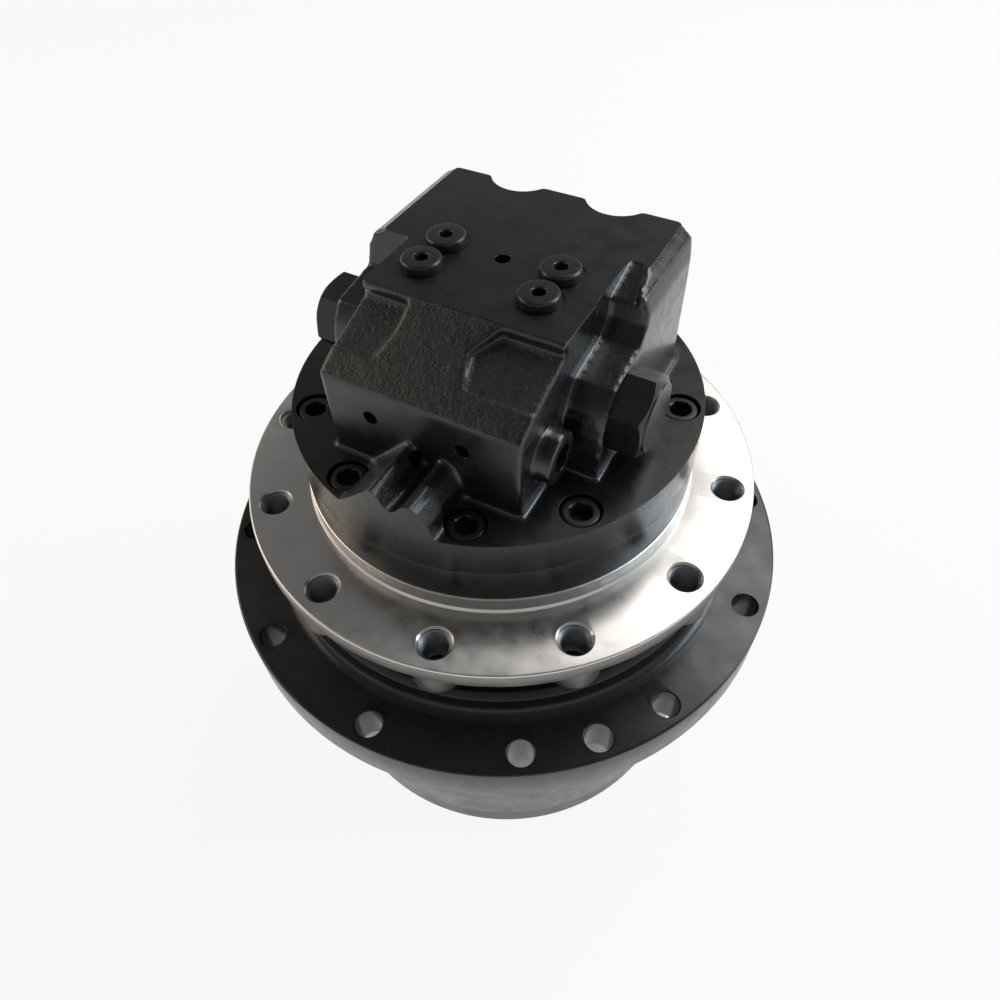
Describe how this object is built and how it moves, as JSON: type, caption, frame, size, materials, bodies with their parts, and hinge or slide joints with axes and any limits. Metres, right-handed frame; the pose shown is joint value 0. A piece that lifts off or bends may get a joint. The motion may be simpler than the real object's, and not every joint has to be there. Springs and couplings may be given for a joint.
{
  "type": "excavator final drive",
  "caption": "Hydraulic travel motor with planetary reduction: a fixed flanged spindle and valve casing, and a turning hub with a drilled sprocket flange.",
  "frame": {"origin": "centre of the frame flange's mounting face, on the drive's axis", "axes": "+Z along the drive's axis from the sprocket hub towards the valve casing; +X along the brake valve's spool; +Y towards the hose ports"},
  "size_m": [0.325, 0.325, 0.3533],
  "materials": {
    "frame_flange_steel": "turned",
    "black_casting": "gloss",
    "black_hub_paint": "satin",
    "dark_screw_steel": "black oxide",
    "zinc_plug_steel": "satin",
    "gear_steel": "ground",
    "carrier_iron": "machined",
    "bearing_steel": "ground",
    "motor_steel": "ground",
    "bearing_bronze": "machined",
    "spring_steel": "wound",
    "black_rubber": "matt"
  },
  "bodies": {
    "stator": {"spindle": "frame_flange_steel", "valve_casing": "black_casting", "casing_screws": "dark_screw_steel", "check_valve_plugs": "zinc_plug_steel", "spool_cap_left": "zinc_plug_steel", "spool_cap_right": "zinc_plug_steel", "casing_oring": "black_rubber", "swash_plate": "motor_steel", "pivot_balls": "bearing_steel", "valve_plate": "bearing_bronze", "shaft_bearing_cups": "bearing_steel", "shaft_seal": "black_rubber", "separator_plates": "motor_steel", "brake_springs": "spring_steel", "main_bearing_cones": "bearing_steel", "bearing_nut": "carrier_iron", "output_carrier": "carrier_iron", "output_planet_pins": "bearing_steel", "output_thrust_washers": "bearing_bronze", "seal_ring_upper": "bearing_steel", "seal_rubber_upper": "black_rubber", "spool_spring_left": "spring_steel", "spool_spring_right": "spring_steel", "two_speed_spring": "spring_steel"},
    "sprocket_hub": {"hub": "black_hub_paint", "ring_gear": "gear_steel", "ring_gear_pins": "bearing_steel", "main_bearing_cups": "bearing_steel", "seal_ring_lower": "bearing_steel", "seal_rubber_lower": "black_rubber", "cover": "black_hub_paint", "cover_screws": "dark_screw_steel", "oil_plugs": "dark_screw_steel", "thrust_pad": "bearing_bronze"},
    "first_carrier": {"input_carrier": "carrier_iron", "input_planet_pins": "bearing_steel", "output_sun_gear": "gear_steel"},
    "motor_shaft": {"drive_shaft": "gear_steel", "input_sun_gear": "gear_steel", "cylinder_block": "motor_steel", "pistons": "motor_steel", "slippers": "bearing_bronze", "retainer_plate": "motor_steel", "retainer_guide": "motor_steel", "friction_discs": "motor_steel", "shaft_bearing_cones": "bearing_steel"},
    "brake": {"brake_piston": "motor_steel"},
    "counterbalance_valve": {"counterbalance_spool": "motor_steel"},
    "two_speed_valve": {"two_speed_spool": "motor_steel"},
    "main_rollers": {"main_bearing_rollers": "bearing_steel"},
    "shaft_rollers": {"shaft_bearing_rollers": "bearing_steel"},
    "second_planet_a": {"output_planet_a": "gear_steel"},
    "first_planet_a": {"input_planet_a": "gear_steel"},
    "second_planet_b": {"output_planet_b": "gear_steel"},
    "first_planet_b": {"input_planet_b": "gear_steel"},
    "second_planet_c": {"output_planet_c": "gear_steel"},
    "first_planet_c": {"input_planet_c": "gear_steel"}
  },
  "joints": [
    {"name": "hub_spin", "type": "hinge", "parent": "stator", "child": "sprocket_hub", "pos_m": [0, 0, -0.1], "axis": [0, 0, 1], "continuous": true},
    {"name": "first_carrier_spin", "type": "hinge", "parent": "stator", "child": "first_carrier", "pos_m": [0, 0, -0.1], "axis": [0, 0, 1], "continuous": true},
    {"name": "shaft_spin", "type": "hinge", "parent": "stator", "child": "motor_shaft", "pos_m": [0, 0, -0.1], "axis": [0, 0, 1], "continuous": true},
    {"name": "main_roller_spin", "type": "hinge", "parent": "stator", "child": "main_rollers", "pos_m": [0, 0, -0.1], "axis": [0, 0, 1], "continuous": true},
    {"name": "shaft_roller_spin", "type": "hinge", "parent": "stator", "child": "shaft_rollers", "pos_m": [0, 0, -0.1], "axis": [0, 0, 1], "continuous": true},
    {"name": "second_planet_a_spin", "type": "hinge", "parent": "stator", "child": "second_planet_a", "pos_m": [0.0675, 0, -0.163], "axis": [0, 0, 1], "continuous": true},
    {"name": "first_planet_a_spin", "type": "hinge", "parent": "first_carrier", "child": "first_planet_a", "pos_m": [0.06187, 0, -0.198], "axis": [0, 0, 1], "continuous": true},
    {"name": "second_planet_b_spin", "type": "hinge", "parent": "stator", "child": "second_planet_b", "pos_m": [-0.03375, 0.05846, -0.163], "axis": [0, 0, 1], "continuous": true},
    {"name": "first_planet_b_spin", "type": "hinge", "parent": "first_carrier", "child": "first_planet_b", "pos_m": [-0.03094, 0.05359, -0.198], "axis": [0, 0, 1], "continuous": true},
    {"name": "second_planet_c_spin", "type": "hinge", "parent": "stator", "child": "second_planet_c", "pos_m": [-0.03375, -0.05846, -0.163], "axis": [0, 0, 1], "continuous": true},
    {"name": "first_planet_c_spin", "type": "hinge", "parent": "first_carrier", "child": "first_planet_c", "pos_m": [-0.03094, -0.05359, -0.198], "axis": [0, 0, 1], "continuous": true},
    {"name": "brake_release", "type": "slide", "parent": "stator", "child": "brake", "axis": [0, 0, 1], "range_m": [0, 0.0015], "stiffness_N_per_m": 9000, "springref_m": -0.002, "deforming": ["brake_springs"]},
    {"name": "counterbalance_shift", "type": "slide", "parent": "stator", "child": "counterbalance_valve", "axis": [1, 0, 0], "range_m": [-0.006, 0.006], "stiffness_N_per_m": 6000, "deforming": ["spool_spring_left", "spool_spring_right"]},
    {"name": "two_speed_shift", "type": "slide", "parent": "stator", "child": "two_speed_valve", "axis": [-1, 0, 0], "range_m": [0, 0.004], "stiffness_N_per_m": 2000, "springref_m": -0.001, "deforming": ["two_speed_spring"]}
  ],
  "couplings": [
    {"joint": "first_carrier_spin", "follows": "hub_spin", "ratio": -3},
    {"joint": "shaft_spin", "follows": "hub_spin", "ratio": -21},
    {"joint": "main_roller_spin", "follows": "hub_spin", "ratio": 0.52552},
    {"joint": "shaft_roller_spin", "follows": "hub_spin", "ratio": -9.072},
    {"joint": "second_planet_a_spin", "follows": "hub_spin", "ratio": 3},
    {"joint": "first_planet_a_spin", "follows": "hub_spin", "ratio": 10.286},
    {"joint": "second_planet_b_spin", "follows": "hub_spin", "ratio": 3},
    {"joint": "first_planet_b_spin", "follows": "hub_spin", "ratio": 10.286},
    {"joint": "second_planet_c_spin", "follows": "hub_spin", "ratio": 3},
    {"joint": "first_planet_c_spin", "follows": "hub_spin", "ratio": 10.286}
  ]
}
